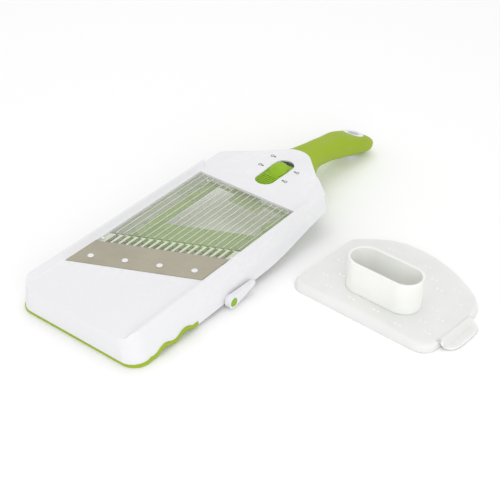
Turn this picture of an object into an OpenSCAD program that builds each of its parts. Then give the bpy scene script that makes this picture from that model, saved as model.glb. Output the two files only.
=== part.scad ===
// Hand-held mandoline slicer with an adjustable ramp, retractable julienne teeth and a loose food guard.
// Slicer parts are drawn in the body frame: X across, +Y towards the handle, Z up from the body's underside,
// Y = 0 at the shoulder where the ramp ends. posed() then leans the slicer onto its front edge and
// handle tip.

/* [Body] */
// Width of the body along its bottom edge
body_w = 116; // [114:1:120]
// Width of the feeding well between the side walls
well_w = 95; // [94:0.5:96]
// Length from the front edge to the shoulder line
body_len = 195; // [190:1:205]
// Height of the deck above the underside
deck_z = 24; // [23.5:0.1:25]
// Height of the side rims above the deck
rim_h = 4; // [3:0.5:5]
// Thickness of the body's walls
wall = 2.2; // [1.8:0.1:2.6]
// Angle of the blade across the body
blade_slant = 24.6; // [20:0.2:26]
// Lean of the resting slicer
lean = 2.8; // [2.7:0.1:2.9]

/* [Slicing] */
// Distance from the shoulder line to the cutting edge on the centre line
edge_y = 101.8; // [100:0.2:104]
// Width of the blade from its back edge to its cutting edge
blade_depth = 28.3; // [26:0.1:30]
// Pitch of the ribs on the ramp
rib_pitch = 5.43; // [5.3:0.01:5.5]
// Thickness of the slice at rest
slice_rest = 2.2; // [2:0.1:2.4]
// Change of slice thickness from one setting to the next
slice_step = 1.1; // [0.9:0.1:1.1]
// Distance between two settings of the thumb slide
detent_pitch = 8.3; // [7.6:0.1:8.4]

/* [Julienne] */
// Height that the julienne teeth rise
teeth_rise = 4.6; // [4.4:0.1:4.6]
// Distance from the shoulder line to the lever's shaft
shaft_y = 95; // [94:0.5:96]

/* [Handle] */
// Distance from the shoulder line to the end of the handle
handle_end = 172; // [168:1:176]
// Radius of the hang hole
hole_r = 5.2; // [4.8:0.1:5.6]

/* [Guard] */
// Height of the finger collar above the guard's plate
collar_h = 26; // [22:1:30]
// Turn of the guard on the table
guard_turn = -2.7; // [-6:0.1:2]

/* [Hidden] */
$fn = 48;

WHITE = [0.95, 0.95, 0.96];
GREEN = [0.62, 0.72, 0.24];
STEEL = [0.68, 0.67, 0.62];
CLEAR = [0.85, 0.90, 0.84, 0.6];
MILK = [0.91, 0.92, 0.90, 0.8];
INK = [0.25, 0.25, 0.27];

gap = 0.3;                        // clearance between moving parts
half_low = body_w / 2;            // half width at the bottom edge
half_top = half_low - 4.5;        // half width at the rims
well = well_w / 2;
top_skin = 2.5;                   // thickness of the deck and shoulder plate
front_r = 13;                     // plan radius of the front corners
shoulder_y = 34.5;                // where the sides start to taper in
neck_y = 51;                      // where the taper meets the handle
neck_half = 34;
collar_r = 18;                    // rounded tip of the collar over the handle
collar_tip = 76;
slope = tan(blade_slant);

// Rear part of the body that holds the end of the slide
root_half = 18;
root_y = 65;
root_low = 8.5;

// Blade
blade_t = 0.8;
blade_top = deck_z + 0.4;
blade_half = well - 0.3;
bevel_len = 2.6;
rivet_pitch = 26.5;
rivet_count = 4;
rivet_inset = 9;                  // from the blade's back edge

// Ramp
ramp_t = 2.6;
ramp_half = well - 0.4;
ramp_top = blade_top - slice_rest;
ramp_low = ramp_top - ramp_t;
ramp_front_gap = 0.7;
rib_count = 17;
rib_w = 0.8;
rib_h = 0.5;
slot_w = 1.4;                     // the comb's slots, each in a wider recess
recess_w = 3.4;
recess_t = 0.9;
comb_len = 14.3;                  // the comb's slots end this far from the ramp's front
comb_rim = 1.4;
guide_w = 2.2;                    // upright guide ribs on the walls
guide_in = 2.2;
leg_x = 37.3;
leg_r = 1.5;
legs = [[-leg_x, -78], [leg_x, -46], [-leg_x, -13], [leg_x, -13]];
guides = [[-1, -116], [1, -76]];
leg_low = 15.7;                   // height of the legs' feet at rest

// Thickness slide: detent_pitch along Y lifts the ramp by slice_step
lift_ratio = slice_step / detent_pitch;
slide_back = detent_pitch;        // travel towards the handle
slide_front = 2 * detent_pitch;   // travel towards the blade
slider_low = 10.5;
slider_top = 12.5;
rail_out = 44.2;
rail_in = 33.8;
slider_front = 22;                // from the cutting edge to the slide's front
window_y = -47.5;
cross_y = 6;
cross_len = 8;
tongue_half = 14;
tongue_y = -4;
block_half = 14;
block_y = 17.5;
knob_y = 50;
knob_back = 53;
knob_base = 19.2;
slot_skin = 1.3;                  // thickness of the deck around the slot
slot_x = 1.5;                     // the slot lies slightly right of the centre line
slot_half = 8.5;
slot_y = [15, 57.3];
pad_r = 8;                        // round thumb pad
pad_y = 40.3;
pad_z = 28.2;
pad_dome = 12.5;
notch_count = 4;

// Julienne mechanism
shaft_z = 1.4;
shaft_r = 2;
involute_r = teeth_rise / (PI / 2);   // base circle that gives the rise in a quarter turn
cam_r0 = 2.2;
cam_x = 20;
cam_w = 6;
bar_low = shaft_z + cam_r0 + 0.15;
bar_t = 2;
bar_half = 2.6;
teeth_y = -96;
tooth_t = 0.6;
tooth_len = 4;
tooth_tip = 19.8;
tooth_count = rib_count - 1;
boss_r = 5.1;
lever_x = half_low + 0.9;
lever_t = 4.6;
lever_reach = 27;
lug_x = 52;
lug_r = 3.8;
lug_half = 4.9;

// Handle centre line: places along Y and their heights and half widths
grip_y = [51.3, 60, 70, 82, 96, 112, 130, 148, 160, 168, handle_end];
grip_z = [11.6, 12.6, 13.6, 14, 12.7, 9.6, 5.3, -1, -5.1, -9, -10.5];
grip_w = [33.8, 27, 19.5, 14, 12, 12.2, 13.4, 14.8, 15, 13, 7];
// thickness above and below the centre line, and how round the two halves are (1 is an ellipse)
grip_top = [12.6, 11.6, 10.6, 9.7, 9.4, 9.2, 9.5, 8.3, 7.2, 6.4, 3];
grip_low = [8.4, 8.2, 8.6, 9.7, 10.3, 10.6, 11.9, 11.2, 10.1, 9, 4.2];
round_top = [0.5, 0.5, 0.6, 0.75, 0.78, 0.74, 0.68, 0.64, 0.64, 0.66, 0.7];
round_low = [0.8, 0.8, 0.8, 0.82, 0.86, 0.9, 0.94, 0.96, 0.96, 0.96, 0.96];
hole_y = 152.5;
eyelet_wall = 4;
eyelet_top = 8.1;
eyelet_low = -8.6;
hole_tilt = -18.9;

// Guard: plan outline in its own frame, which sits beside the slicer
guard_at = [143.1, 188];
guard_t = 1.8;
guard_top = 6;
collar_len = 63;
collar_w = 28;
collar_wall = 2;
collar_at = [-1, -9];
spike_sites = [[-48, -18], [-38, -10], [-37, -28], [-15, -29], [7, -29], [28, -32], [39, -16],
  [49, -25], [38, 1], [48, -6], [27, 25], [17, 33], [37, 33], [47, 20], [-50, 4], [-44, 20],
  [-28, 26], [-10, 34], [4, 44], [-30, 44]];

// ---------- helpers ----------
function lerp_at(xs, ys, x, i = 0) = x <= xs[i + 1] || i == len(xs) - 2
  ? ys[i] + (ys[i + 1] - ys[i]) * (x - xs[i]) / (xs[i + 1] - xs[i]) : lerp_at(xs, ys, x, i + 1);
function smooth(t) = let (u = max(0, min(1, t))) u * u * (3 - 2 * u);
function edge_at(x) = -edge_y + slope * x;
function arc_points(cx, cy, r, a0, a1, n = 10) =
  [for (i = [0 : n]) let (a = a0 + (a1 - a0) * i / n) [cx + r * cos(a), cy + r * sin(a)]];
function body_outline(half, inset = 0) = let (r = front_r - inset, f = -body_len + front_r) concat(
  arc_points(half - front_r, f, r, -90, 0), [[half - inset, shoulder_y - 4]],
  [[half - inset - 1, shoulder_y]], [[neck_half - inset, neck_y - inset]],
  [[inset - neck_half, neck_y - inset]], [[inset + 1 - half, shoulder_y]],
  [[inset - half, shoulder_y - 4]], arc_points(front_r - half, f, r, 180, 270));

module posed() {
  rotate([lean, 0, 0]) translate([0, body_len, -lean_drop]) children();
}
lean_drop = 0.5;                  // the front edge is trimmed flat where it rests on the table

module table_trim() {
  difference() {
    children();
    translate([-200, -100, -100]) cube([400, 600, 100]);
  }
}
module slab(y0, y1, z0, z1, x0, x1) {
  translate([x0, y0, z0]) cube([x1 - x0, y1 - y0, z1 - z0]);
}
module along_x(x0, x1) {          // extrudes a Y-Z outline from x0 to x1
  translate([x0, 0, 0]) rotate([90, 0, 90]) linear_extrude(x1 - x0) children();
}
module slanted(x0, x1, y0, y1, z0, z1) {   // strip parallel to the blade, y0..y1 from the cutting edge
  translate([0, 0, z0]) linear_extrude(z1 - z0) polygon([[x0, edge_at(x0) + y0],
    [x1, edge_at(x1) + y0], [x1, edge_at(x1) + y1], [x0, edge_at(x0) + y1]]);
}
module stadium(len, w, h) {
  translate([0, -(len - w) / 2, 0]) cylinder(d = w, h = h);
  translate([0, (len - w) / 2, 0]) cylinder(d = w, h = h);
  translate([-w / 2, -(len - w) / 2, 0]) cube([w, len - w, h]);
}
module screw(head_r, head_h, r, len) {     // head down, shank up
  translate([0, 0, -head_h]) difference() {
    cylinder(r = head_r, h = head_h);
    for (a = [0, 90]) rotate(a) translate([-head_r * 0.6, -0.4, -1]) cube([head_r * 1.2, 0.8, 1.7]);
  }
  cylinder(r = r, h = len);
}

// ---------- body ----------
function wave(y) = y > -136 ? 0 : 1.5 * (1 - cos(360 * (y + 132.2) / 21.7));
strip_h = 3;
strip_end = -129;
module wave_profile(top) {        // side view of the scalloped bottom edge
  ys = [for (i = [0 : 32]) strip_end - i * 2];
  polygon(concat([for (y = ys) [y, wave(max(y, -186)) * (y < -180 ? 0 : 1) + top]],
    [[-body_len - 5, top], [-body_len - 5, top - 9], [strip_end, top - 9]]));
}
module outer_block() {
  hull() {
    linear_extrude(0.01) polygon(body_outline(half_low));
    translate([0, 0, deck_z]) linear_extrude(0.01) polygon(body_outline(half_top + 0.7));
    translate([0, 0, deck_z + rim_h]) linear_extrude(0.01) polygon(body_outline(half_top - 0.3, 0));
  }
}
module inner_block() {
  hull() {
    translate([0, 0, -1]) linear_extrude(0.01) polygon(body_outline(half_low, wall));
    translate([0, 0, deck_z - top_skin]) linear_extrude(0.01) polygon(body_outline(half_top, wall));
  }
}
function collar_outline() = concat([[neck_half, neck_y - 1]],
  arc_points(0, collar_tip - collar_r, collar_r, 44, 136, 12), [[-neck_half, neck_y - 1]]);
core_y = [64, 82, 96, 112, 130, 148, 162];
module core_side() {
  pts = [for (y = core_y) [y, lerp_at(grip_y, grip_z, y)]];
  polygon(concat([for (p = pts) [p[0], p[1] + 3.6]],
    [for (i = [len(pts) - 1 : -1 : 0]) [pts[i][0], pts[i][1] - 3.6]]));
}
module at_hole() {
  translate([0, hole_y, lerp_at(grip_y, grip_z, hole_y)]) rotate([hole_tilt, 0, 0]) children();
}
module core_shape() {
  along_x(-7, 7) core_side();
  at_hole() translate([0, 0, eyelet_low]) cylinder(r = hole_r + eyelet_wall, h = eyelet_top - eyelet_low);
}
module knob_slot() translate([slot_x, (slot_y[0] + slot_y[1]) / 2, deck_z - 6])
  stadium(slot_y[1] - slot_y[0], 2 * slot_half, 12);
post_sites = [[-22, 28], [22, 28], [-22, 45], [22, 45]];
post_low = slider_low - 0.25;
cover_z = slider_low - 0.3;
module main_body() color(WHITE) posed() difference() {
  union() {
    difference() {
      union() {
        body_shell();
        // inner walls of the feeding well, a rib under the blade and a lintel either side of the slide
        for (s = [-1, 1]) {
          side_slab(s, -146, 7, 1.5, deck_z - 1, well - 1, well + 2);
          side_slab(s, 0.2, 2.4, 18.4, deck_z - 1, block_half + 1, well + 1);
        }
        slanted(-well - 1, well + 1, -12.5, -10.3, 9, deck_z - 1);
      }
      translate([0, 0, -10]) linear_extrude(60) polygon([[-well, edge_at(-well) - 8.1],
        [well, edge_at(well) - 8.1], [well, 0], [-well, 0]]);
    }
    // ledges that the slide rests on, and upright guides for the ramp and the teeth's carrier
    for (s = [-1, 1]) side_slab(s, s < 0 ? -100 : -64, -1, slider_low - 2.15, slider_low - 0.15,
      well - 5, well + 0.5);
    for (g = guides) side_slab(g[0], g[1] - guide_w / 2, g[1] + guide_w / 2, 2, deck_z - 1.2,
      well - guide_in, well + 0.5);
    bearings();
    for (p = post_sites) translate([p[0], p[1], post_low]) cylinder(r = 3.6, h = deck_z - 1 - post_low);
    // root of the handle: a hollow box that the end of the slide runs into
    slab(neck_y - 4, root_y, root_low, deck_z - 1, -root_half, root_half);
    translate([0, 0, deck_z - 3.4]) linear_extrude(3.4) polygon(collar_outline());
    core_shape();
  }
  // blade seat and rivet holes
  slanted(-blade_half - 0.1, blade_half + 0.1, -blade_depth / cos(blade_slant) - 0.1, 2,
    blade_top - blade_t, 40);
  rivet_places() translate([0, 0, 10]) cylinder(r = 1.7, h = 20);
  // inside of the handle root, open to the body's hollow
  slab(neck_y - 6, root_y - 2.2, root_low + 1.6, deck_z - top_skin, -root_half + 2.2, root_half - 2.2);
  knob_slot();
  // thinner skin around the slot, over the knob's base
  slab(block_y - slide_front - 0.6, knob_back + slide_back + 0.6, base_top - 2, base_top + gap,
    slot_x - slot_half - 3.4, slot_x + slot_half + 3.4);
  bearing_bores();
  for (p = post_sites) translate([p[0], p[1], 0]) cylinder(r = 1.2, h = 20);
  at_hole() translate([0, 0, -20]) cylinder(r = hole_r, h = 40);
  // seat of the non-slip strip
  intersection() {
    difference() {
      translate([0, 0, -6]) linear_extrude(14) polygon(body_outline(half_low + 3));
      translate([0, 0, -7]) linear_extrude(16) polygon(body_outline(half_low - strip_w, strip_w - 1));
    }
    along_x(-80, 80) wave_profile(strip_h);
  }
}
module side_slab(s, y0, y1, z0, z1, x0, x1) {   // a slab on one side; s is -1 for left and 1 for right
  slab(y0, y1, z0, z1, s < 0 ? -x1 : x0, s < 0 ? -x0 : x1);
}
module body_shell() difference() {
  outer_block();
  inner_block();
  along_y_cut();
  // the side's bottom edge rises towards the shoulder
  along_x(-80, 80) polygon(concat([for (i = [0 : 12]) [-48 + i * 7, 10 * smooth(i / 12)]],
    [[90, 10], [90, -5], [-48, -5]]));
}
// shaft bearings: the left is short, the right runs out through the side wall
bearing_spans = [[-lug_x, -well - 0.05], [well + 0.05, half_low + 0.5]];
module bearings() {
  for (b = bearing_spans) {
    translate([b[0], -shaft_y, shaft_z]) rotate([0, 90, 0]) cylinder(r = lug_r, h = b[1] - b[0]);
    slab(-shaft_y - lug_half, -shaft_y + lug_half, shaft_z - lug_r, 9, b[0], b[1] - (b[0] > 0 ? 2.5 : 0));
  }
}
module bearing_bores() {
  translate([-54.5, -shaft_y, shaft_z]) rotate([0, 90, 0]) cylinder(r = shaft_r + 0.08, h = 120);
  // the bearings open downwards and are closed by keepers
  for (b = bearing_spans) slab(-shaft_y - shaft_r, -shaft_y + shaft_r, shaft_z - 10, shaft_z,
    b[0] - 1, b[1] + 1);
  for (x = keeper_x) for (s = [-1, 1]) translate([x, -shaft_y + s * keeper_arm, -8])
    cylinder(r = 0.85, h = 14);
}
module along_y_cut() {
  // between the rims, with a soft slope up to each crest
  translate([0, 12, 0]) rotate([90, 0, 0]) linear_extrude(body_len + 40) polygon([
    [-well, deck_z], [well, deck_z], [well + 1, deck_z + 0.6], [well + 4.2, deck_z + rim_h + 1],
    [-well - 4.2, deck_z + rim_h + 1], [-well - 1, deck_z + 0.6]]);
  translate([0, 0, deck_z]) linear_extrude(rim_h + 2) polygon([[-well, 4], [-70, 34], [-70, 70], [70, 70],
    [70, 34], [well, 4]]);
}
// ---------- soft parts ----------
strip_w = 4;
module non_slip_strip() color(GREEN) table_trim() posed() intersection() {
  difference() {
    translate([0, 0, -3]) linear_extrude(12) polygon(body_outline(half_low + 0.4));
    translate([0, 0, -4]) linear_extrude(16) polygon(body_outline(half_low - strip_w + 0.15, strip_w - 0.85));
  }
  difference() {
    along_x(-80, 80) wave_profile(strip_h - 0.05);
    along_x(-90, 90) wave_profile(0);
    translate([-90, strip_end - 0.05, -10]) cube([180, 400, 40]);
  }
}

function power(v, e) = sign(v) * pow(abs(v), e);
function grip_ring(i, n = 28) = let (y = grip_y[i], z = grip_z[i],
    dy = grip_y[min(i + 1, len(grip_y) - 1)] - grip_y[max(i - 1, 0)],
    dz = grip_z[min(i + 1, len(grip_y) - 1)] - grip_z[max(i - 1, 0)],
    tilt = i == 0 ? 0 : atan2(dz, dy))
  [for (k = [0 : n - 1]) let (a = 360 * k / n, up = sin(a) > 0, e = up ? round_top[i] : round_low[i],
      x = grip_w[i] * power(cos(a), e), h = (up ? grip_top[i] : grip_low[i]) * power(sin(a), e))
    [x, y - h * sin(tilt), z + h * cos(tilt)]];
module grip_shape() {
  n = 28;
  m = len(grip_y);
  polyhedron(
    points = [for (i = [0 : m - 1]) each grip_ring(i, n)],
    faces = concat([[for (k = [n - 1 : -1 : 0]) k]], [[for (k = [0 : n - 1]) (m - 1) * n + k]],
      [for (i = [0 : m - 2]) for (k = [0 : n - 1]) each [
        [i * n + k, i * n + (k + 1) % n, (i + 1) * n + (k + 1) % n],
        [i * n + k, (i + 1) * n + (k + 1) % n, (i + 1) * n + k]]]));
}
module handle_grip() color(GREEN) table_trim() posed() difference() {
  grip_shape();
  slab(0, root_y + 0.05, root_low - 0.05, 40, -root_half - 0.05, root_half + 0.05);
  translate([0, 0, deck_z - 3.45]) linear_extrude(20)
    polygon([for (p = collar_outline()) [p[0] * 1.01, p[1] + 0.1]]);
  along_x(-7.05, 7.05) offset(delta = 0.05) core_side();
  at_hole() translate([0, 0, -25]) cylinder(r = hole_r + eyelet_wall + 0.05, h = 50);
}

// ---------- blade ----------
module rivet_places() {
  back = -blade_depth / cos(blade_slant) + rivet_inset / cos(blade_slant);
  for (i = [0 : rivet_count - 1]) let (x = (i - (rivet_count - 1) / 2) * rivet_pitch * cos(blade_slant))
    translate([x, edge_at(x) + back, 0]) children();
}
module slicing_blade() color(STEEL) posed() difference() {
  slanted(-blade_half, blade_half, -blade_depth / cos(blade_slant), 0, blade_top - blade_t, blade_top);
  // long bevel under the cutting edge
  translate([0, -edge_y, blade_top - 0.12]) rotate([0, 0, blade_slant]) rotate([14.5, 0, 0])
    translate([-80, -bevel_len * 2, -5]) cube([160, bevel_len * 2 + 5, 5]);
  rivet_places() translate([0, 0, 10]) cylinder(r = 1.75, h = 20);
}
module blade_rivets() color(WHITE) posed() rivet_places() {
  translate([0, 0, deck_z - top_skin - 1]) cylinder(r = 1.6, h = blade_top - deck_z + top_skin + 1.1);
  translate([0, 0, blade_top]) cylinder(r = 2.4, h = 0.5);
}

// ---------- ramp ----------
module ramp() color(CLEAR) posed() {
  difference() {
    union() {
      translate([0, 0, ramp_low]) linear_extrude(ramp_t) polygon([[-ramp_half, front_of_ramp(-ramp_half)],
        [ramp_half, front_of_ramp(ramp_half)], [ramp_half, -0.4], [-ramp_half, -0.4]]);
      for (k = [0 : rib_count - 1]) let (x = (k - (rib_count - 1) / 2) * rib_pitch)
        slab(front_of_ramp(x) + comb_len + 1, -1.2, ramp_top - 0.1, ramp_top + rib_h,
          x - rib_w / 2, x + rib_w / 2);
      for (p = legs) {
        translate([p[0] - 2, p[1], leg_low + leg_r]) rotate([0, 90, 0]) cylinder(r = leg_r, h = 4);
        slab(p[1] - leg_r, p[1] + leg_r, leg_low + leg_r, ramp_low + 0.5, p[0] - 2, p[0] + 2);
      }
    }
    for (x = tooth_xs()) {
      slab(front_of_ramp(x) + comb_rim + 1, front_of_ramp(x) + comb_len - 1, ramp_low - 1,
        ramp_top + 3, x - slot_w / 2, x + slot_w / 2);
      slab(front_of_ramp(x) + comb_rim, front_of_ramp(x) + comb_len, ramp_top - recess_t,
        ramp_top + 3, x - recess_w / 2, x + recess_w / 2);
      translate([x, front_of_ramp(x), 0]) cylinder(r = 0.6, h = 40, $fn = 16);
    }
    for (g = guides) slab(g[1] - guide_w / 2 - gap, g[1] + guide_w / 2 + gap, ramp_low - 1, ramp_top + 3,
      g[0] < 0 ? -60 : well - guide_in - gap, g[0] < 0 ? -well + guide_in + gap : 60);
  }
}
function front_of_ramp(x) = edge_at(x) + ramp_front_gap / cos(blade_slant);
function tooth_xs() = [for (k = [0 : tooth_count - 1]) (k - (tooth_count - 1) / 2) * rib_pitch];

// ---------- thickness slide ----------
module wedge(x, y) {              // rises towards the blade; its top meets the leg's foot
  front = y - slide_back - 3;
  back = y + slide_front + 3;
  h_at = leg_low - 0.15;
  along_x(x - 3, x + 3) polygon([[front, slider_top - 0.5], [back, slider_top - 0.5],
    [back, max(slider_top, h_at - lift_ratio * (slide_front + 3))],
    [front, h_at + lift_ratio * (slide_back + 3)]]);
}
module thickness_slider() color(GREEN) posed() difference() {
  union() {
    difference() {
      translate([0, 0, slider_low]) linear_extrude(slider_top - slider_low) polygon([
        [-rail_out, edge_at(-rail_out) + slider_front], [rail_out, edge_at(rail_out) + slider_front],
        [rail_out, cross_y + cross_len], [-rail_out, cross_y + cross_len]]);
      translate([0, 0, slider_low - 1]) linear_extrude(5) polygon([
        [-rail_in, window_y - slope * rail_in], [rail_in, window_y + slope * rail_in],
        [rail_in, cross_y], [tongue_half, cross_y], [tongue_half, tongue_y], [-tongue_half, tongue_y],
        [-tongue_half, cross_y], [-rail_in, cross_y]]);
    }
    for (p = legs) wedge(p[0], p[1]);
    slab(cross_y + cross_len - 2, knob_y, slider_low, slider_top, -block_half, block_half);
    slab(block_y, knob_y, slider_low, knob_base, -block_half, block_half);
  }
  for (x = tooth_xs()) slab(edge_at(x), edge_at(x) + edge_y + teeth_y + tooth_len / 2 + slide_front + 1,
    slider_low - 1, slider_top + 1, x - 1, x + 1);
  // channel for the detent spring, with its notches in the roof
  slab(cross_y + cross_len + 0.5, knob_y + 1, slider_low - 1, channel_top, -channel_half, channel_half);
  for (i = [0 : notch_count - 1])
    translate([-channel_half + 0.2, detent_y + (i - 1) * detent_pitch, channel_top])
      rotate([0, 90, 0]) cylinder(r = 0.75, h = 2 * channel_half - 0.4);
}
module thickness_knob() color(GREEN) posed() {
  difference() {
    union() {
      slab(block_y, knob_back, knob_base, base_top, slot_x - slot_half - 3, slot_x + slot_half + 3);
      // round thumb pad, domed behind and dished in front
      intersection() {
        translate([slot_x, pad_y, base_top - 0.1]) cylinder(r = pad_r, h = 12);
        translate([slot_x + 0.5, pad_y + 3, pad_z - pad_dome]) sphere(r = pad_dome, $fn = 72);
      }
    }
    translate([-30, pad_y - 9.5, pad_z + 4.6]) rotate([0, 90, 0]) cylinder(r = 9.5, h = 60, $fn = 72);
    // cross grooves for the thumb
    for (i = [0 : 5]) slab(block_y + 1 + i * 2.3, block_y + 2.1 + i * 2.3, base_top - 0.7, base_top + 1,
      slot_x - slot_half + 1.5, slot_x + slot_half - 1.5);
  }
}
base_top = deck_z - slot_skin - gap;
channel_half = 4;
channel_top = slider_low + 3.2;
detent_y = 40;
spring_y = 27;
module detent_spring() color(STEEL) posed() difference() {
  union() {
    // leaf on the cover, with a bead that drops into the notches in the slide's channel
    slab(spring_y - 2.5, detent_y + 1, cover_z + 0.02, cover_z + 0.42, -3, 3);
    slab(detent_y - 0.5, detent_y + 0.5, cover_z + 0.3, channel_top - 0.9, -3, 3);
    translate([-3, detent_y, channel_top - 0.9]) rotate([0, 90, 0]) cylinder(r = 0.65, h = 6);
  }
  translate([0, spring_y, 0]) cylinder(r = 0.85, h = 20);
}
module spring_screw() color(STEEL) posed()
  translate([0, spring_y, cover_z + 0.44]) rotate([180, 0, 0]) screw(1.8, 0.9, 0.75, 2);
module slider_cover() color(WHITE) posed() difference() {
  slab(21, neck_y - 4.3, cover_z - 1.6, cover_z, -27, 27);
  for (p = post_sites) translate([p[0], p[1], 0]) cylinder(r = 1.5, h = 20);
  translate([0, spring_y, 0]) cylinder(r = 0.8, h = 20);
}
module cover_screws() color(STEEL) posed() for (p = post_sites)
  translate([p[0], p[1], cover_z - 1.6]) screw(2.6, 1.2, 1.15, 9);

// ---------- julienne mechanism ----------
module julienne_carrier() color(WHITE) posed() difference() {
  union() {
    slanted(-43, 43, edge_y + teeth_y - bar_half / cos(blade_slant),
      edge_y + teeth_y + bar_half / cos(blade_slant), bar_low, bar_low + bar_t);
    for (g = guides) slab(g[1] - 4.5, g[1] + 4.5, bar_low, bar_low + bar_t,
      g[0] < 0 ? -well + gap : 38, g[0] < 0 ? -38 : well - gap);
    // pads that the cams lift
    for (s = [-1, 1]) slab(min(teeth_y + slope * s * cam_x, -shaft_y - 2), max(teeth_y + slope * s * cam_x,
      -shaft_y + involute_r + 3), bar_low, bar_low + bar_t, s * cam_x - 3.5, s * cam_x + 3.5);
  }
  for (g = guides) slab(g[1] - guide_w / 2 - gap, g[1] + guide_w / 2 + gap, bar_low - 1, bar_low + bar_t + 1,
    g[0] < 0 ? -60 : well - guide_in - gap, g[0] < 0 ? -well + guide_in + gap : 60);
}
module julienne_teeth() color(STEEL) posed() for (x = tooth_xs())
  translate([0, edge_at(x) + edge_y + teeth_y, 0]) along_x(x - tooth_t / 2, x + tooth_t / 2) polygon([
    [-tooth_len / 2, bar_low + bar_t], [tooth_len / 2, bar_low + bar_t], [tooth_len / 2, tooth_tip - 4],
    [-0.8, tooth_tip], [-tooth_len / 2, tooth_tip]]);
function involute(n = 18) = [for (i = [0 : n])
  let (a = 90 - 90 * i / n, h = cam_r0 + involute_r * (90 - a) * PI / 180)
  [h * cos(a) + involute_r * sin(a), h * sin(a) - involute_r * cos(a)]];
module cam() {
  linear_extrude(cam_w) polygon(concat(involute(),
    [[5, -4], [-0.5, -2.4], [-2.4, -0.5], [-2.2, 1.6], [0, cam_r0]]));
}
module at_shaft(x) translate([x, -shaft_y, shaft_z]) rotate([90, 0, 90]) children();
module julienne_camshaft() color(WHITE) posed() {
  difference() {
    at_shaft(-lug_x - 2.4) cylinder(r = shaft_r, h = lug_x + 2.4 + lever_x + 1.9);
    at_shaft(lever_x - 2.2) cylinder(r = 1, h = 6);
  }
  for (s = [-1, 1]) at_shaft(s * cam_x - cam_w / 2) cam();
  at_shaft(-lug_x - 2.2) cylinder(r = 3.2, h = 1.9);
}
keeper_x = [-lug_x + 2.2, well + 5.5];
keeper_arm = 3.4;
keeper_low = shaft_z - lug_r - 0.8;
module shaft_keepers() color(WHITE) posed() for (x = keeper_x) difference() {
  union() {
    slab(-shaft_y - 5.2, -shaft_y + 5.2, keeper_low, keeper_low + 0.75, x - 2, x + 2);
    slab(-shaft_y - shaft_r + 0.1, -shaft_y + shaft_r - 0.1, keeper_low + 0.5, shaft_z - 0.2, x - 2, x + 2);
  }
  translate([-70, -shaft_y, shaft_z]) rotate([0, 90, 0]) cylinder(r = shaft_r + 0.1, h = 140);
  for (s = [-1, 1]) translate([x, -shaft_y + s * keeper_arm, -7]) cylinder(r = 0.9, h = 10);
}
module keeper_screws() color(STEEL) posed() for (x = keeper_x) for (s = [-1, 1])
  translate([x, -shaft_y + s * keeper_arm, keeper_low - 0.02]) screw(1.5, 0.35, 0.8, 6);
module julienne_lever() color(WHITE) posed() difference() {
  at_shaft(lever_x) hull() {
    cylinder(r = boss_r, h = lever_t);
    translate([lever_reach - 2.4, 1.6, 0.6]) cylinder(r = 2.4, h = lever_t - 1.8, $fn = 32);
  }
  at_shaft(lever_x - 1) cylinder(r = shaft_r + 0.05, h = 2.95);
  at_shaft(lever_x + 2.65) cylinder(r = 1.85, h = 3);
  at_shaft(lever_x + lever_t - 1.2) cylinder(r = 3.55, h = 3);
  at_shaft(lever_x) cylinder(r = 1, h = lever_t);
}
module lever_screw() color(STEEL) posed() at_shaft(lever_x + 2.67) {
  cylinder(r = 1.75, h = 0.7);
  translate([0, 0, -4.7]) cylinder(r = 0.95, h = 4.8);
}
module lever_cap() color(GREEN) posed() at_shaft(lever_x + lever_t - 1.15) cylinder(r = 3.5, h = 1.6);

// ---------- printed marks beside the slot ----------
marks = [[-12.6, 38.3, -1], [-12.6, 55.3, -1], [14.4, 29.7, 1], [14.4, 46.2, 1]];
module setting_marks() color(INK) posed() for (m = marks) translate([m[0], m[1], deck_z]) {
  cylinder(r = 0.9, h = 0.12);
  translate([m[2] * 2.7, 0, 0]) difference() {
    cylinder(r = 1.5, h = 0.12);
    translate([0, 0, -1]) cylinder(r = 1, h = 3);
  }
}

// ---------- food guard ----------
guard_outline = concat(arc_points(-52, -31, 12, -90, -176, 8), [[-63.6, 28]],
  arc_points(-55, 32, 8.6, 165, 128, 4),
  [[-49, 49.5], [-38, 57], [-27, 60.6], [-12, 61.6], [0, 60.4], [10, 58],
  [23, 53.6], [35, 47.8], [45, 42], [53, 36], [58.4, 29], [61.2, 20], [61.8, 13]], [[61.4, -29]],
  arc_points(48.8, -30.5, 12.5, 0, -90, 8));
module guard_frame() translate([guard_at[0], guard_at[1], 0]) rotate(guard_turn) children();
module racetrack(len, w, h) rotate(90) stadium(len, w, h);
module guard_plate() color(MILK) guard_frame() {
  difference() {
    linear_extrude(guard_top) polygon(guard_outline);
    translate([0, 0, -1]) linear_extrude(guard_top - guard_t + 1) offset(delta = -1.6) polygon(guard_outline);
    translate([collar_at[0], collar_at[1], -1])
      racetrack(collar_len - 2 * collar_wall, collar_w - 2 * collar_wall, 20);
  }
  // thumb tab
  difference() {
    translate([60.4, -8, 0]) hull() {
      translate([-2, -21, guard_top - guard_t]) cube([2, 40, guard_t]);
      translate([4, -13, 0.2]) cylinder(r = 7, h = 1.8, $fn = 32);
      translate([5, 9, 0.2]) cylinder(r = 7, h = 1.8, $fn = 32);
    }
    translate([60.4, -8, 0]) hull() {
      translate([-3.5, -20, guard_top - guard_t - 2.6]) cube([2, 38, guard_t]);
      translate([2.5, -12, -2.2]) cylinder(r = 7, h = 1.8, $fn = 32);
      translate([3.5, 8, -2.2]) cylinder(r = 7, h = 1.8, $fn = 32);
    }
    translate([0, 0, -1]) linear_extrude(20) offset(delta = -0.8) polygon(guard_outline);
  }
}
module guard_collar() color(MILK) guard_frame()
  translate([collar_at[0], collar_at[1], guard_top]) difference() {
  racetrack(collar_len, collar_w, collar_h);
  translate([0, 0, -1]) racetrack(collar_len - 2 * collar_wall, collar_w - 2 * collar_wall, collar_h + 2);
}
spike_r = 0.8;
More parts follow.
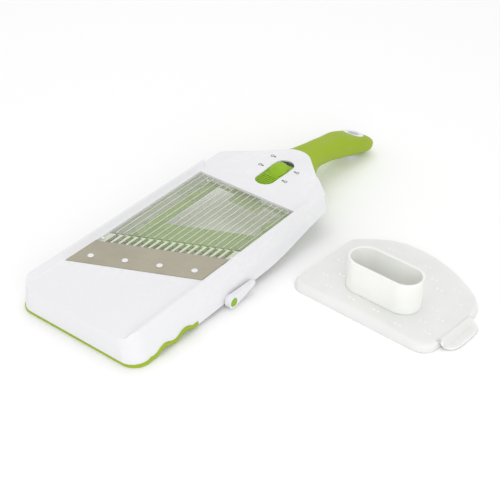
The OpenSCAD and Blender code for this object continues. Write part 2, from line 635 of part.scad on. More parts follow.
module guard_spikes() color(MILK) guard_frame() for (p = spike_sites) for (s = [-1, 1])
  translate([p[0] + s * 1.9, p[1], 0.4]) cylinder(r1 = 0.3, r2 = spike_r, h = guard_top - guard_t - 0.4);

main_body();
handle_grip();
non_slip_strip();
slicing_blade();
blade_rivets();
setting_marks();
ramp();
thickness_slider();
thickness_knob();
detent_spring();
spring_screw();
slider_cover();
cover_screws();
julienne_carrier();
julienne_teeth();
julienne_camshaft();
shaft_keepers();
keeper_screws();
julienne_lever();
lever_screw();
lever_cap();
guard_plate();
guard_collar();
guard_spikes();
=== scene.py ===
"""Looks of the hand-held mandoline slicer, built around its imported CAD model."""

import math

import bmesh
import bpy
from mathutils import Matrix, Vector


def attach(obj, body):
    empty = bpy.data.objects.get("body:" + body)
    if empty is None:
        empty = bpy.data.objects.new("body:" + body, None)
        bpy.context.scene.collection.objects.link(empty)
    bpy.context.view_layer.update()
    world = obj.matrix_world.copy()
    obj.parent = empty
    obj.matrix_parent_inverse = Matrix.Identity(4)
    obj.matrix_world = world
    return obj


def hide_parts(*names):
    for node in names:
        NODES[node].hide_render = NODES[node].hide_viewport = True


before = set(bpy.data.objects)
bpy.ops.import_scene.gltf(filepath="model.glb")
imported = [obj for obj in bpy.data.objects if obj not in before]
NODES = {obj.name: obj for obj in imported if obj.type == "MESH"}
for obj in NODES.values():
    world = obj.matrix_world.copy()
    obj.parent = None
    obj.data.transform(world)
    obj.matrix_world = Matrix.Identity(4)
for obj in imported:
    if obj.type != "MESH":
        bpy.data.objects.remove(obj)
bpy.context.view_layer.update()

# The body frame: X across, +Y to the handle, Y = 0 at the shoulder line, Z up from the body's underside
LEAN = math.radians(2.8)
BODY_LEN = 0.195
LEAN_DROP = 0.0005
POSED = Matrix.Rotation(LEAN, 4, "X") @ Matrix.Translation((0, BODY_LEN, -LEAN_DROP))
MM = 0.001

# The landing deck and the blade in the body frame, in mm
DECK_Z = 24.0
BLADE_SLANT = math.radians(24.6)
BLADE_EDGE_Y = -101.8
BLADE_DEPTH = 28.3

# The camera in the body frame, in metres
CAMERA_YAW = math.radians(38.0)
CAMERA_PITCH = math.radians(36.3)
CAMERA_AT = (0.4792059, -0.6082863, 0.534)
CAMERA_SENSOR = 36.0
CAMERA_LENS = 83.45

# The studio, in metres and watts
LIGHT_TARGET = (0.05, 0.15, 0)
KEY_LIGHT = {"place": (0.95, -0.75, 0.6), "size": 0.9, "power": 4.6}
TOP_LIGHT = {"place": (-0.3, 0.4, 1.3), "size": 1.0, "power": 2.4}
WORLD_STRENGTH = 0.84
FLOOR_HALF = 6.0
TABLE_GAP = 0.00005
PAPER_GREY = 0.985


# ---------- camera, lights and floor ----------
def make_camera():
    yaw, pitch = CAMERA_YAW, CAMERA_PITCH
    ahead = Vector((-math.sin(yaw), math.cos(yaw), 0)) * math.cos(pitch) - Vector((0, 0, math.sin(pitch)))
    right = Vector((math.cos(yaw), math.sin(yaw), 0))
    up = right.cross(ahead)
    local = Matrix((right, up, -ahead)).transposed().to_4x4()
    local.translation = Vector(CAMERA_AT)
    data = bpy.data.cameras.new("camera")
    data.sensor_width = CAMERA_SENSOR
    data.lens = CAMERA_LENS
    camera = bpy.data.objects.new("camera", data)
    bpy.context.scene.collection.objects.link(camera)
    camera.matrix_world = POSED @ local
    bpy.context.scene.camera = camera


def area_light(name, place, size, power):
    data = bpy.data.lights.new(name, "AREA")
    data.shape = "DISK"
    data.size = size
    data.energy = power
    light = bpy.data.objects.new(name, data)
    bpy.context.scene.collection.objects.link(light)
    light.location = place
    light.rotation_euler = (Vector(LIGHT_TARGET) - Vector(place)).to_track_quat("-Z", "Y").to_euler()


def make_studio():
    scene = bpy.context.scene
    scene.view_settings.view_transform = "Standard"
    world = bpy.data.worlds.new("studio")
    world.use_nodes = True
    background = world.node_tree.nodes["Background"]
    background.inputs["Color"].default_value = (1.0, 1.0, 1.0, 1)
    background.inputs["Strength"].default_value = WORLD_STRENGTH
    scene.world = world
    area_light("key", **KEY_LIGHT)
    area_light("top", **TOP_LIGHT)
    floor_mesh = bpy.data.meshes.new("floor")
    half = FLOOR_HALF
    floor_mesh.from_pydata([(-half, -half, 0), (half, -half, 0), (half, half, 0), (-half, half, 0)], [],
                           [(0, 1, 2, 3)])
    floor = bpy.data.objects.new("floor", floor_mesh)
    scene.collection.objects.link(floor)
    floor.location.z = -TABLE_GAP
    paper = bpy.data.materials.new("paper")
    paper.use_nodes = True
    shader = paper.node_tree.nodes["Principled BSDF"]
    shader.inputs["Base Color"].default_value = (PAPER_GREY, PAPER_GREY, PAPER_GREY, 1)
    shader.inputs["Roughness"].default_value = 0.9
    shader.inputs["Specular IOR Level"].default_value = 0.1
    floor.data.materials.append(paper)


# ---------- materials ----------
# Pointiness where the painted highlight on an edge starts and where it is full
EDGE_SHARPNESS = (0.54, 0.62)

# The ramp, in metres: heights of its top faces, which get a painted highlight, and distances behind the line where
# its comb starts, which bound the painted highlight on the comb bars and the painted shade in the groove behind
# them
COMB_LINE_Y = -0.101
COMB_HIGHLIGHT_Z = (0.0217, 0.0219)
RIB_HIGHLIGHT_Z = (0.02235, 0.0226)
COMB_HIGHLIGHT_END = (0.0149, 0.0146)
GROOVE_SHADE_START = (0.0147, 0.015)
GROOVE_SHADE_END = (0.0161, 0.0157)


class Nodes:
    """A short way to write a material's node tree."""

    def __init__(self, name):
        self.material = bpy.data.materials.new(name)
        self.material.use_nodes = True
        self.tree = self.material.node_tree
        self.shader = self.tree.nodes["Principled BSDF"]
        self.place = self.add("ShaderNodeTexCoord").outputs["Object"]

    def add(self, kind, **values):
        node = self.tree.nodes.new(kind)
        for key, value in values.items():
            setattr(node, key, value)
        return node

    def feed(self, socket, value):
        if isinstance(value, bpy.types.NodeSocket):
            self.tree.links.new(value, socket)
        else:
            socket.default_value = value

    def math(self, operation, a, b=0.0, c=None):
        node = self.add("ShaderNodeMath", operation=operation)
        self.feed(node.inputs[0], a)
        self.feed(node.inputs[1], b)
        if c is not None:
            self.feed(node.inputs[2], c)
        return node.outputs[0]

    def body_place(self):
        """The point in the body frame, in metres."""
        back = POSED.inverted()
        node = self.add("ShaderNodeMapping", vector_type="POINT")
        self.feed(node.inputs["Vector"], self.place)
        node.inputs["Rotation"].default_value = back.to_euler()
        node.inputs["Location"].default_value = back.translation
        return node.outputs["Vector"]

    def stretched(self, scale, turn):
        """The point on axes turned and stretched, for noise drawn out into lines."""
        node = self.add("ShaderNodeMapping", vector_type="TEXTURE")
        self.feed(node.inputs["Vector"], self.place)
        node.inputs["Scale"].default_value = scale
        node.inputs["Rotation"].default_value = turn
        return node.outputs["Vector"]

    def noise(self, scale, detail, rough=0.5, vector=None):
        node = self.add("ShaderNodeTexNoise")
        self.feed(node.inputs["Vector"], self.place if vector is None else vector)
        node.inputs["Scale"].default_value = scale
        node.inputs["Detail"].default_value = detail
        node.inputs["Roughness"].default_value = rough
        return node.outputs["Fac"]

    def ramp(self, value, stops):
        """The value, mapped from the first two stops to the last two and held there."""
        node = self.add("ShaderNodeMapRange")
        self.feed(node.inputs["Value"], value)
        for key, number in zip(("From Min", "From Max", "To Min", "To Max"), stops):
            node.inputs[key].default_value = number
        return node.outputs["Result"]

    def mix(self, factor, a, b):
        node = self.add("ShaderNodeMix", data_type="RGBA")
        self.feed(node.inputs["Factor"], factor)
        self.feed(node.inputs[6], a if isinstance(a, bpy.types.NodeSocket) else (*a, 1))
        self.feed(node.inputs[7], b if isinstance(b, bpy.types.NodeSocket) else (*b, 1))
        return node.outputs[2]

    def bump(self, height, strength, distance):
        node = self.add("ShaderNodeBump")
        self.feed(node.inputs["Height"], height)
        node.inputs["Strength"].default_value = strength
        node.inputs["Distance"].default_value = distance
        return node.outputs["Normal"]

    def edges(self):
        """1 along convex edges, where the painted edge highlight goes."""
        return self.ramp(self.add("ShaderNodeNewGeometry").outputs["Pointiness"], (*EDGE_SHARPNESS, 0.0, 1.0))

    def set(self, **values):
        for key, value in values.items():
            self.feed(self.shader.inputs[key.replace("_", " ")], value)


def colour(red, green, blue):
    """Linear colour from 0-255 display values."""
    def linear(v):
        v /= 255.0
        return v / 12.92 if v <= 0.04045 else ((v + 0.055) / 1.055) ** 2.4
    return (linear(red), linear(green), linear(blue))


def moulded(name, base, deep, edge_highlight_colour, roughness, grain=2600.0, grain_depth=0.00002, **values):
    """Moulded plastic: slow colour drift, fine spark grain, and a painted highlight on convex edges, which are
    also a little rougher.
    """
    n = Nodes(name)
    drift = n.noise(9.0, 2.0)
    fine = n.noise(grain, 2.0)
    body = n.mix(n.ramp(drift, (0.35, 0.65, 0.0, 1.0)), base, deep)
    # painted highlight: a patchy lighter colour along convex edges
    edge_highlight = n.math("MULTIPLY", n.edges(), n.ramp(n.noise(220.0, 3.0), (0.35, 0.7, 0.05, 0.5)))
    n.set(Base_Color=n.mix(edge_highlight, body, edge_highlight_colour),
          Roughness=n.math("ADD", n.ramp(n.noise(60.0, 3.0), (0.3, 0.7, roughness - 0.05, roughness + 0.06)),
                           n.math("MULTIPLY", edge_highlight, 0.08)),
          Normal=n.bump(fine, 0.12, grain_depth))
    n.set(**values)
    return n.material


def brushed(name, base, deep, turn, roughness=0.33):
    """Ground steel: fine scratches along one direction, faint stains."""
    n = Nodes(name)
    lines = n.noise(1.0, 4.0, 0.65, n.stretched((0.02, 0.00012, 0.02), (0, 0, turn)))
    fine = n.noise(1.0, 3.0, 0.6, n.stretched((0.006, 0.00005, 0.006), (0, 0, turn)))
    cloud = n.noise(45.0, 3.0)
    tone = n.math("ADD", n.math("MULTIPLY", lines, 0.6), n.math("MULTIPLY", cloud, 0.4))
    n.set(Base_Color=n.mix(n.ramp(tone, (0.35, 0.65, 0.0, 1.0)), deep, base),
          Metallic=0.85,
          Roughness=n.ramp(fine, (0.3, 0.7, roughness - 0.07, roughness + 0.1)),
          Normal=n.bump(fine, 0.2, 0.00001))
    return n.material


def clear_material():
    """Clear ribbed styrene: see-through, with a painted highlight on the rib tops and comb bars and a painted
    shade in the groove behind the comb.
    """
    n = Nodes("clear_styrene")
    split = n.add("ShaderNodeSeparateXYZ")
    n.feed(split.inputs[0], n.body_place())
    height = split.outputs["Z"]
    behind = n.math("ADD", n.math("MULTIPLY_ADD", split.outputs["X"], -math.tan(BLADE_SLANT),
                                  split.outputs["Y"]), -COMB_LINE_Y)
    # masks for the painted highlight on the comb bars and rib tops, and for the painted shade in the groove behind
    # the comb
    comb = n.math("MULTIPLY", n.ramp(behind, (*COMB_HIGHLIGHT_END, 0.0, 1.0)), n.ramp(height, (*COMB_HIGHLIGHT_Z, 0.0, 1.0)))
    groove = n.math("MULTIPLY", n.ramp(behind, (*GROOVE_SHADE_START, 0.0, 1.0)),
                    n.ramp(behind, (*GROOVE_SHADE_END, 0.0, 1.0)))
    rib = n.math("MAXIMUM", n.ramp(height, (*RIB_HIGHLIGHT_Z, 0.0, 1.0)), comb)
    drift = n.noise(25.0, 3.0)
    fine = n.noise(900.0, 3.0)
    pale = n.mix(n.ramp(drift, (0.35, 0.65, 0.0, 1.0)), colour(204, 208, 192), colour(211, 214, 199))
    # pale painted highlight on rib tops and comb bars, dark painted shade in the groove; both are also made less
    # see-through
    n.set(Base_Color=n.mix(groove, n.mix(rib, pale, colour(236, 242, 220)), colour(120, 130, 112)),
          Alpha=n.math("ADD", n.math("ADD", 0.26, n.math("MULTIPLY", rib, 0.3)),
                       n.math("ADD", n.math("MULTIPLY", comb, 0.15), n.math("MULTIPLY", groove, 0.2))),
          Roughness=n.ramp(fine, (0.3, 0.7, 0.08, 0.2)),
          Normal=n.bump(fine, 0.1, 0.00001),
          Specular_IOR_Level=0.6, Coat_Weight=0.3)
    return n.material


def milky_material():
    """Translucent polypropylene: soft light inside, faint flow clouds, fine satin grain."""
    n = Nodes("milky_polypropylene")
    cloud = n.noise(30.0, 4.0, 0.55)
    fine = n.noise(1800.0, 2.0)
    n.set(Base_Color=n.mix(n.ramp(cloud, (0.3, 0.7, 0.0, 1.0)), colour(236, 237, 232), colour(242, 243, 239)),
          Roughness=n.ramp(n.noise(80.0, 3.0), (0.3, 0.7, 0.32, 0.45)),
          Normal=n.bump(fine, 0.2, 0.00002),
          Subsurface_Weight=0.5, Subsurface_Scale=0.004)
    n.shader.inputs["Subsurface Radius"].default_value = (1.0, 1.0, 0.9)
    return n.material


def make_materials():
    return {
        # each moulded plastic: base colour, a random darker tone, and the lighter colour of its painted edge
        # highlight
        "white": moulded("white_abs", colour(234, 234, 236), colour(231, 231, 234),
                         colour(243, 243, 244), 0.4),
        "grip": moulded("green_soft_touch", colour(158, 182, 34), colour(151, 175, 31),
                        colour(172, 195, 56), 0.52, 1500.0, 0.00004, Specular_IOR_Level=0.3),
        "green": moulded("green_abs", colour(142, 182, 26), colour(134, 173, 24),
                         colour(165, 200, 50), 0.4, Specular_IOR_Level=0.35),
        "blade": brushed("ground_blade", colour(186, 180, 162), colour(168, 162, 145), BLADE_SLANT),
        "steel": brushed("plated_steel", colour(200, 200, 202), colour(168, 168, 172), 0.0, 0.28),
        "clear": clear_material(),
        "milky": milky_material(),
        # the guard's dimples: the plate's polypropylene painted lighter, as a painted highlight, without its soft
        # inner light
        "dimple_highlight": moulded("dimple_painted_highlight", colour(250, 250, 247), colour(246, 247, 243),
                          colour(252, 252, 250), 0.4),
        "ink": moulded("printed_ink", colour(78, 78, 84), colour(66, 66, 72), colour(110, 110, 115), 0.55),
    }


MATERIAL_OF = {
    "main_body": "white", "slider_cover": "white", "shaft_keepers": "white", "blade_rivets": "white",
    "julienne_carrier": "white", "julienne_camshaft": "white", "julienne_lever": "white",
    "handle_grip": "grip", "non_slip_strip": "grip", "thickness_slider": "green", "thickness_knob": "green",
    "lever_cap": "green", "slicing_blade": "blade", "julienne_teeth": "blade", "detent_spring": "steel",
    "spring_screw": "steel", "cover_screws": "steel", "keeper_screws": "steel", "lever_screw": "steel",
    "ramp": "clear", "guard_plate": "milky", "guard_collar": "milky", "guard_spikes": "milky",
    "setting_marks": "ink",
}

# Rounding of the edges, in mm; the nodes that are left out keep their sharp edges
EDGE_ROUND = {
    "main_body": 0.7, "julienne_lever": 0.6, "lever_cap": 0.5,
    "guard_collar": 0.7, "guard_plate": 0.6, "non_slip_strip": 0.5, "blade_rivets": 0.25,
    "slicing_blade": 0.06, "julienne_carrier": 0.3, "shaft_keepers": 0.2, "slider_cover": 0.3,
    "julienne_camshaft": 0.25, "handle_grip": 0.4,
}
SMOOTH_ANGLE = math.radians(32)
BEVEL_ANGLE = math.radians(38)
FLAT_ANGLE = math.radians(0.4)
WELD_GAP = 0.000004


def smooth_group():
    """Geometry nodes that shade smooth across edges flatter than an angle."""
    group = bpy.data.node_groups.new("smooth_by_angle", "GeometryNodeTree")
    group.interface.new_socket("Geometry", in_out="INPUT", socket_type="NodeSocketGeometry")
    group.interface.new_socket("Geometry", in_out="OUTPUT", socket_type="NodeSocketGeometry")
    start = group.nodes.new("NodeGroupInput")
    end = group.nodes.new("NodeGroupOutput")
    faces = group.nodes.new("GeometryNodeSetShadeSmooth")
    faces.domain = "FACE"
    edges = group.nodes.new("GeometryNodeSetShadeSmooth")
    edges.domain = "EDGE"
    edges.inputs["Shade Smooth"].default_value = False
    angle = group.nodes.new("GeometryNodeInputMeshEdgeAngle")
    steep = group.nodes.new("FunctionNodeCompare")
    steep.operation = "GREATER_THAN"
    steep.inputs[1].default_value = SMOOTH_ANGLE
    link = group.links.new
    link(start.outputs[0], faces.inputs["Geometry"])
    link(faces.outputs[0], edges.inputs["Geometry"])
    link(angle.outputs["Unsigned Angle"], steep.inputs[0])
    link(steep.outputs[0], edges.inputs["Selection"])
    link(edges.outputs[0], end.inputs[0])
    return group


def finish_node(name, materials, group):
    """Gives a CAD node its material, rounded edges and shading."""
    node = NODES[name]
    node.data.materials.clear()
    node.data.materials.append(materials[MATERIAL_OF[name]])
    if "custom_normal" in node.data.attributes:
        node.data.attributes.remove(node.data.attributes["custom_normal"])
    weld = node.modifiers.new("weld", "WELD")
    weld.merge_threshold = WELD_GAP
    if name in EDGE_ROUND:
        flat = node.modifiers.new("flat", "DECIMATE")
        flat.decimate_type = "DISSOLVE"
        flat.angle_limit = FLAT_ANGLE
        bevel = node.modifiers.new("edge", "BEVEL")
        bevel.limit_method = "ANGLE"
        bevel.angle_limit = BEVEL_ANGLE
        bevel.width = EDGE_ROUND[name] * MM
        bevel.segments = 3
        bevel.miter_outer = "MITER_ARC"
        bevel.use_clamp_overlap = True
    shade = node.modifiers.new("shade", "NODES")
    shade.node_group = group
    if name in EDGE_ROUND:
        node.modifiers.new("weighted", "WEIGHTED_NORMAL").keep_sharp = True


# ---------- pieces that stand for CAD nodes ----------
def mesh_object(name, points, faces, body, material, matrix=POSED):
    """A new piece from points in mm, in the frame that the matrix gives."""
    mesh = bpy.data.meshes.new(name)
    mesh.from_pydata([tuple(matrix @ (Vector(p) * MM)) for p in points], [], faces)
    mesh.validate()
    bm = bmesh.new()
    bm.from_mesh(mesh)
    bmesh.ops.recalc_face_normals(bm, faces=bm.faces)
    bm.to_mesh(mesh)
    bm.free()
    mesh.materials.append(material)
    obj = bpy.data.objects.new(name, mesh)
    bpy.context.scene.collection.objects.link(obj)
    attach(obj, body)
    return obj


def bake_modifiers(obj):
    """Replaces the mesh with the result of its modifiers."""
    graph = bpy.context.evaluated_depsgraph_get()
    mesh = bpy.data.meshes.new_from_object(obj.evaluated_get(graph))
    obj.modifiers.clear()
    obj.data = mesh


def prism(points, low, high):
    """Points and faces of an upright prism."""
    n = len(points)
    both = [(x, y, low) for x, y in points] + [(x, y, high) for x, y in points]
    sides = [(i, (i + 1) % n, n + (i + 1) % n, n + i) for i in range(n)]
    return both, [tuple(range(n - 1, -1, -1)), tuple(range(n, 2 * n))] + sides


def cut(obj, points, faces, matrix=POSED):
    """Takes a closed shape away from a piece."""
    mesh = bpy.data.meshes.new("cutter")
    mesh.from_pydata([tuple(matrix @ (Vector(p) * MM)) for p in points], [], faces)
    cutter = bpy.data.objects.new("cutter", mesh)
    bpy.context.scene.collection.objects.link(cutter)
    boolean = obj.modifiers.new("cut", "BOOLEAN")
    boolean.operation = "DIFFERENCE"
    boolean.solver = "EXACT"
    boolean.object = cutter
    bpy.context.view_layer.update()
    bake_modifiers(obj)
    bpy.data.objects.remove(cutter)


def hermite(xs, ys, x):
    """Smooth monotone curve through the points."""
    i = max(k for k in range(len(xs) - 1) if xs[k] <= x or k == 0)

    def slope(k):
        if k in (0, len(xs) - 1):
            j = min(k, len(xs) - 2)
            return (ys[j + 1] - ys[j]) / (xs[j + 1] - xs[j])
        before = (ys[k] - ys[k - 1]) / (xs[k] - xs[k - 1])
        after = (ys[k + 1] - ys[k]) / (xs[k + 1] - xs[k])
        return 0.0 if before * after <= 0 else 2 * before * after / (before + after)
    step = xs[i + 1] - xs[i]
    t = (x - xs[i]) / step
    return ((2 * t ** 3 - 3 * t ** 2 + 1) * ys[i] + (t ** 3 - 2 * t ** 2 + t) * step * slope(i)
            + (3 * t ** 2 - 2 * t ** 3) * ys[i + 1] + (t ** 3 - t ** 2) * step * slope(i + 1))


# Sections along the handle in the body frame, in mm: centre height, half width, reach up and down, and
# how square the upper and the lower half are
GRIP_Y = [51.3, 60, 70, 82, 96, 112, 130, 148, 160, 168, 172]
GRIP_Z = [11.6, 12.6, 13.6, 14, 12.7, 9.6, 5.3, -1, -5.1, -9, -10.5]
GRIP_W = [33.8, 27, 19.5, 14, 12, 12.2, 13.4, 14.8, 15, 13, 7]
GRIP_TOP = [12.6, 11.6, 10.6, 9.7, 9.4, 9.2, 9.5, 8.3, 7.2, 6.4, 3]
GRIP_LOW = [8.4, 8.2, 8.6, 9.7, 10.3, 10.6, 11.9, 11.2, 10.1, 9, 4.2]
ROUND_TOP = [0.5, 0.5, 0.6, 0.75, 0.78, 0.74, 0.68, 0.64, 0.64, 0.66, 0.7]
ROUND_LOW = [0.8, 0.8, 0.8, 0.82, 0.86, 0.9, 0.94, 0.96, 0.96, 0.96, 0.96]
HOLE_Y = 152.5
HOLE_TILT = math.radians(-18.9)
EYELET_R = 9.2
GRIP_SIDES = 72
GRIP_STEPS = 70
NOSE_Y = 168
NOSE_LEN = 3.9
COLLAR_TIP_R = 18
COLLAR_TIP_Y = 58


def signed_power(value, power):
    return math.copysign(abs(value) ** power, value)


def grip_section(y):
    """The ring of points around the handle at y."""
    z, w, top, low, e_top, e_low = (hermite(GRIP_Y, v, y) for v in
                                    (GRIP_Z, GRIP_W, GRIP_TOP, GRIP_LOW, ROUND_TOP, ROUND_LOW))
    tilt = math.atan2(hermite(GRIP_Y, GRIP_Z, y + 0.5) - hermite(GRIP_Y, GRIP_Z, y - 0.5), 1) if y > 52 else 0
    ring = []
    for k in range(GRIP_SIDES):
        a = 2 * math.pi * k / GRIP_SIDES
        upper = math.sin(a) > 0
        e = e_top if upper else e_low
        x = w * signed_power(math.cos(a), e)
        h = (top if upper else low) * signed_power(math.sin(a), e)
        ring.append((x, y - h * math.sin(tilt), z + h * math.cos(tilt)))
    return ring


def make_grip(material):
    """The soft grip, lofted through its sections, with room for the white parts that it surrounds."""
    count = GRIP_SIDES
    stations = [GRIP_Y[0] + (NOSE_Y - GRIP_Y[0]) * i / GRIP_STEPS for i in range(GRIP_STEPS + 1)]
    stations += [NOSE_Y + NOSE_LEN * math.sin(math.radians(a)) for a in range(12, 91, 13)]
    rings = [grip_section(y) for y in stations]
    points = [p for ring in rings for p in ring]
    faces = [tuple(range(count))]
    for r in range(len(rings) - 1):
        for k in range(count):
            faces.append((r * count + k, r * count + (k + 1) % count, (r + 1) * count + (k + 1) % count,
                          (r + 1) * count + k))
    # the end closes like a rounded nose
    last = (len(rings) - 1) * count
    centre = Vector((0, 0, 0))
    for p in rings[-1]:
        centre += Vector(p) / count
    for s, push in ((0.8, 0.3), (0.5, 0.55), (0.2, 0.65)):
        base = len(points)
        points += [tuple(centre + (Vector(p) - centre) * s + Vector((0, push, 0))) for p in rings[-1]]
        for k in range(count):
            faces.append((last + k, last + (k + 1) % count, base + (k + 1) % count, base + k))
        last = base
    faces.append(tuple(last + k for k in range(count)))
    grip = mesh_object("soft_grip", points, faces, "frame", material)
    # room for the collar, the root box, the eyelet and the table
    tip = [(COLLAR_TIP_R * math.cos(math.radians(a)), COLLAR_TIP_Y + COLLAR_TIP_R * math.sin(math.radians(a)))
           for a in range(44, 137, 4)]
    collar = [(1.005 * x, y + 0.05) for x, y in [(34.0, 50.0)] + tip + [(-34.0, 50.0)]]
    cut(grip, *prism(collar, DECK_Z - 3.42, DECK_Z + 12))
    cut(grip, *prism([(-18.02, 40), (18.02, 40), (18.02, 65.02), (-18.02, 65.02)], 8.48, 40))
    seat_r = EYELET_R + 0.04
    ring = [(seat_r * math.cos(math.radians(a)), seat_r * math.sin(math.radians(a))) for a in range(0, 360, 5)]
    at_hole = (POSED @ Matrix.Translation(Vector((0, HOLE_Y, hermite(GRIP_Y, GRIP_Z, HOLE_Y))) * MM)
               @ Matrix.Rotation(HOLE_TILT, 4, "X"))
    cut(grip, *prism(ring, -25, 25), matrix=at_hole)
    cut(grip, *prism([(-60, 200), (60, 200), (60, 400), (-60, 400)], -60, 0), matrix=Matrix.Identity(4))
    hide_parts("handle_grip")
    return grip


# The guard's own frame: X along its long side, +Y to its bowed back, on the table
GUARD = Matrix.Translation((0.1431, 0.188, 0)) @ Matrix.Rotation(math.radians(-2.7), 4, "Z")
GUARD_TOP = 6.0
GUARD_THICK = 1.5
COLLAR_AT = (-1.0, -9.0)
COLLAR_HALF = 63 / 2 - 2
COLLAR_R = 28 / 2 - 2
DIMPLE_PAIRS = [(-48, -18), (-38, -10), (-37, -28), (-15, -29), (7, -29), (28, -32), (39, -16), (49, -25),
                (38, 1), (48, -6), (27, 25), (17, 33), (37, 33), (47, 20), (-50, 4), (-44, 20), (-28, 26),
                (-10, 34), (4, 44), (-30, 44)]
DIMPLE_HALF_GAP = 1.9
DIMPLE_CLEARANCE = 4


def arc(cx, cy, r, a0, a1, count):
    """Points along a circle from one angle to the other, in degrees."""
    return [(cx + r * math.cos(math.radians(a0 + (a1 - a0) * i / count)),
             cy + r * math.sin(math.radians(a0 + (a1 - a0) * i / count))) for i in range(count + 1)]


GUARD_OUTLINE = (arc(-52, -31, 12, -90, -176, 8) + [(-63.6, 28)] + arc(-55, 32, 8.6, 165, 128, 4)
                 + [(-49, 49.5), (-38, 57), (-27, 60.6), (-12, 61.6), (0, 60.4), (10, 58), (23, 53.6),
                    (35, 47.8), (45, 42), (53, 36), (58.4, 29), (61.2, 20), (61.8, 13), (61.4, -29)]
                 + arc(48.8, -30.5, 12.5, 0, -90, 8))


def reach(outline, angle):
    """How far the outline lies from the collar's centre in that direction."""
    dx, dy = math.cos(angle), math.sin(angle)
    best = 0.0
    n = len(outline)
    for i in range(n):
        ax, ay = outline[i][0] - COLLAR_AT[0], outline[i][1] - COLLAR_AT[1]
        bx, by = outline[(i + 1) % n][0] - COLLAR_AT[0], outline[(i + 1) % n][1] - COLLAR_AT[1]
        det = dx * (ay - by) - dy * (ax - bx)
        if abs(det) < 1e-9:
            continue
        t = (ax * (ay - by) - ay * (ax - bx)) / det
        u = (dx * ay - dy * ax) / det
        if t > 0 and -1e-6 <= u <= 1 + 1e-6:
            best = max(best, t)
    return best


def racetrack_reach(angle):
    """How far the collar's inside lies from its centre in that direction."""
    dx, dy = abs(math.cos(angle)), abs(math.sin(angle))
    flat = COLLAR_HALF - COLLAR_R
    if dy > 1e-9 and COLLAR_R / dy * dx <= flat:
        return COLLAR_R / dy
    return flat * dx + math.sqrt(max(0.0, COLLAR_R ** 2 - (flat * dy) ** 2))


def smoothstep(a, b, x):
    """0 before a, 1 after b, and a soft rise between them."""
    t = max(0.0, min(1.0, (x - a) / (b - a)))
    return t * t * (3 - 2 * t)


def thicken(sheet, sample, **values):
    """Gives an open sheet its thickness, below it, as the normal of a sample face tells."""
    thick = sheet.modifiers.new("thick", "SOLIDIFY")
    thick.thickness = GUARD_THICK * MM
    thick.offset = -1 if sheet.data.polygons[sample].normal.z > 0 else 1
    for key, value in values.items():
        setattr(thick, key, value)
    bake_modifiers(sheet)


def make_guard_plate(material):
    """A thin plate whose rim bends down to the table, most along the front."""
    count = 240
    angles = [2 * math.pi * (k + 0.5) / count for k in range(count)]
    outer = [reach(GUARD_OUTLINE, a) - 0.05 for a in angles]
    outer = [0.25 * outer[k - 1] + 0.5 * outer[k] + 0.25 * outer[(k + 1) % count] for k in range(count)]
    inner = [racetrack_reach(a) for a in angles]
    # share of the rim's width, and height
    rim = [(0.0, 0.02), (0.06, 1.6), (0.16, 3.0), (0.34, 4.3), (0.6, 5.25), (0.85, 5.8), (1.0, GUARD_TOP)]
    rings = []
    for share, height in rim:
        ring = []
        for k, a in enumerate(angles):
            x, y = outer[k] * math.cos(a), outer[k] * math.sin(a)
            front = smoothstep(-20, -34, y + COLLAR_AT[1])
            bow = 1.0 - min(1.0, (x / 60.0) ** 2)
            width = 1.6 + front * (1.2 + 4.2 * bow)
            ring.append((k, outer[k] - share * width, height))
        rings.append(ring)
    rim_end = rings[-1]
    for t in (0.12, 0.35, 0.6, 0.85, 1.0):
        rings.append([(k, (1 - t) * rim_end[k][1] + t * inner[k], GUARD_TOP) for k in range(count)])
    points = [(COLLAR_AT[0] + r * math.cos(angles[k]), COLLAR_AT[1] + r * math.sin(angles[k]), z)
              for ring in rings for k, r, z in ring]
    faces = [(j * count + k, j * count + (k + 1) % count,
              (j + 1) * count + (k + 1) % count, (j + 1) * count + k)
             for j in range(len(rings) - 1) for k in range(count)]
    plate = mesh_object("guard_shell", points, faces, "food_guard", material, GUARD)
    thicken(plate, len(faces) - 1, use_even_offset=False)
    for v in plate.data.vertices:
        v.co.z = max(v.co.z, TABLE_GAP)
    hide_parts("guard_plate")
    return plate


def make_guard_tab(material):
    """The rounded tab at the guard's right end, which steps down towards the table."""
    rows, columns = 36, 14
    points, faces = [], []
    for j in range(rows + 1):
        v = math.sin(math.pi / 2 * (2 * j / rows - 1))
        for i in range(columns + 1):
            length = 13.2 * (1 - abs(v) ** 3.6) ** (1 / 3.6)
            x = 59.2 + length * i / columns
            y = -8.5 + 20.0 * v + 1.6 * i / columns
            z = GUARD_TOP - 3.9 * smoothstep(60.2, 66.5, x) - 0.05
            points.append((x, y, z))
    for j in range(rows):
        for i in range(columns):
            a = j * (columns + 1) + i
            faces.append((a, a + 1, a + columns + 2, a + columns + 1))
    tab = mesh_object("guard_tab", points, faces, "food_guard", material, GUARD)
    thicken(tab, len(faces) // 2)
    return tab


# The landing deck's dots in the body frame, in mm
DOT_PITCH = 2.9
DOT_FRONT_Y = -186.5
DOT_MARGIN = 3.5


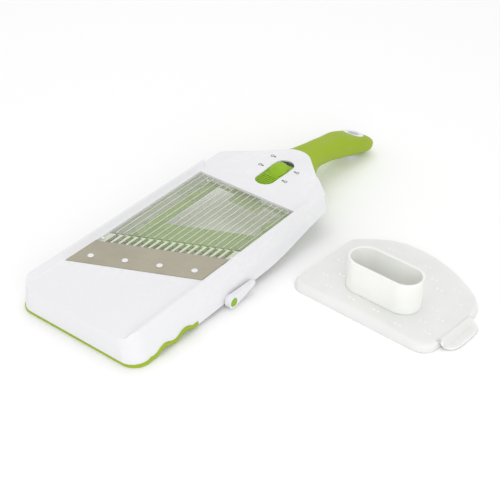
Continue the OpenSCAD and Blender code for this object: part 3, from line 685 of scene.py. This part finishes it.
def dome_field(name, sites, radius, height, sides, body, material, matrix):
    """Low domes at many sites, as one piece."""
    points, faces = [], []
    for x, y, z in sites:
        base = len(points)
        for share, lift in ((1.0, -0.1), (0.85, 0.45), (0.45, 0.85)):
            for k in range(sides):
                a = 2 * math.pi * k / sides
                points.append((x + radius * share * math.cos(a), y + radius * share * math.sin(a),
                               z + lift * height))
        points.append((x, y, z + height))
        for r in range(2):
            for k in range(sides):
                faces.append((base + r * sides + k, base + r * sides + (k + 1) % sides,
                              base + (r + 1) * sides + (k + 1) % sides, base + (r + 1) * sides + k))
        for k in range(sides):
            faces.append((base + 2 * sides + k, base + 2 * sides + (k + 1) % sides, base + 3 * sides))
        faces.append(tuple(base + k for k in reversed(range(sides))))
    return mesh_object(name, points, faces, body, material, matrix)


def make_details(materials):
    """The guard's paired dimples, painted lighter than the plate as a painted highlight, and the small dots on the
    landing deck up to the blade.
    """
    bumps = [(x + side * DIMPLE_HALF_GAP, y, GUARD_TOP) for x, y in DIMPLE_PAIRS for side in (-1, 1)
             if math.hypot(max(0.0, abs(x - COLLAR_AT[0]) - COLLAR_HALF + COLLAR_R), y - COLLAR_AT[1])
             > COLLAR_R + DIMPLE_CLEARANCE]
    dots = []
    for i in range(-15, 16):
        for j in range(26):
            x, y = i * DOT_PITCH, DOT_FRONT_Y + j * DOT_PITCH
            blade_front = BLADE_EDGE_Y + math.tan(BLADE_SLANT) * x - BLADE_DEPTH / math.cos(BLADE_SLANT)
            if y < blade_front - DOT_MARGIN:
                dots.append((x, y, DECK_Z))
    return [dome_field("guard_bumps", bumps, 1.3, 0.22, 12, "food_guard",
                       materials["dimple_highlight"], GUARD),
            dome_field("deck_dots", dots, 0.6, 0.2, 8, "frame",
                       materials["white"], POSED)]


make_camera()
make_studio()
MATERIALS = make_materials()
GROUP = smooth_group()
for node_name in MATERIAL_OF:
    finish_node(node_name, MATERIALS, GROUP)
pieces = [make_grip(MATERIALS["grip"]), make_guard_plate(MATERIALS["milky"]),
          make_guard_tab(MATERIALS["milky"]), *make_details(MATERIALS)]
for piece in pieces:
    piece.modifiers.new("shade", "NODES").node_group = GROUP
